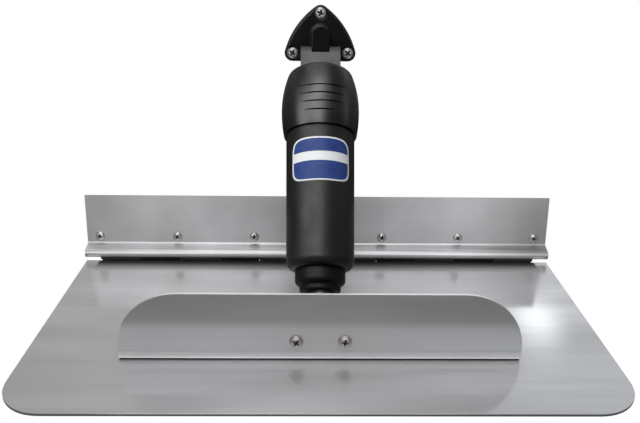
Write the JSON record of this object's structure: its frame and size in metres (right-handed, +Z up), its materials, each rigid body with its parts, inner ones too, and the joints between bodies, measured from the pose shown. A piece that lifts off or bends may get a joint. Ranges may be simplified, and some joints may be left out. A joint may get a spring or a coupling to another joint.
{
  "type": "boat trim tab",
  "caption": "Boat trim tab: flat stainless plane hinged along its front edge to a transom plate and swung down by a black single-acting hydraulic ram with an upper bracket.",
  "frame": {"origin": "middle of the row of transom screws, on the face of the transom plate that lies on the transom", "axes": "+X along the transom, +Y into the boat, +Z up; the tab reaches aft along -Y"},
  "size_m": [0.4572, 0.2664, 0.2801],
  "materials": {
    "stainless_sheet": "brushed",
    "stainless_screw": "polished",
    "stainless_pin": "ground",
    "bracket_nylon": "satin black moulding",
    "cylinder_nylon": "satin black moulding",
    "seal_rubber": "matte",
    "polished_rod": "ground and polished",
    "piston_plastic": "natural",
    "spring_steel": "drawn wire"
  },
  "bodies": {
    "transom_mount": {"transom_plate": "stainless_sheet", "hinge_pin": "stainless_pin", "transom_screws": "stainless_screw", "upper_bracket": "bracket_nylon", "upper_bracket_screws": "stainless_screw", "upper_pivot_pin": "stainless_pin"},
    "tab": {"trim_plane": "stainless_sheet", "actuator_angle": "stainless_sheet", "lower_bracket": "bracket_nylon", "lower_bracket_screws": "stainless_screw", "lower_bracket_nuts": "stainless_screw", "lower_pivot_pin": "stainless_pin"},
    "cylinder": {"cylinder_head": "cylinder_nylon", "head_seal": "seal_rubber", "barrel": "cylinder_nylon", "rod_gland": "cylinder_nylon", "gland_seal": "seal_rubber", "rod_seal": "seal_rubber", "rod_wiper": "seal_rubber", "return_spring": "spring_steel"},
    "ram": {"ram_rod": "polished_rod", "piston": "piston_plastic", "piston_seal": "seal_rubber", "piston_nut": "stainless_pin", "ram_eye": "bracket_nylon"}
  },
  "joints": [
    {"name": "tab_hinge", "type": "hinge", "parent": "transom_mount", "child": "tab", "pos_m": [0, -0.00499, -0.02104], "axis": [1, 0, 0], "range_deg": [0, 22]},
    {"name": "upper_pivot", "type": "hinge", "parent": "transom_mount", "child": "cylinder", "pos_m": [0, -0.024, 0.1787], "axis": [1, 0, 0], "range_deg": [0, 7.51]},
    {"name": "ram_slide", "type": "slide", "parent": "cylinder", "child": "ram", "axis": [0, -0.5212, -0.8535], "range_m": [0, 0.04283], "stiffness_N_per_m": 900, "springref_m": -0.07, "deforming": ["return_spring"]}
  ],
  "couplings": [
    {"joint": "upper_pivot", "follows": "tab_hinge", "ratio": 0.341},
    {"joint": "ram_slide", "follows": "tab_hinge", "m_per_rad": 0.1115}
  ]
}
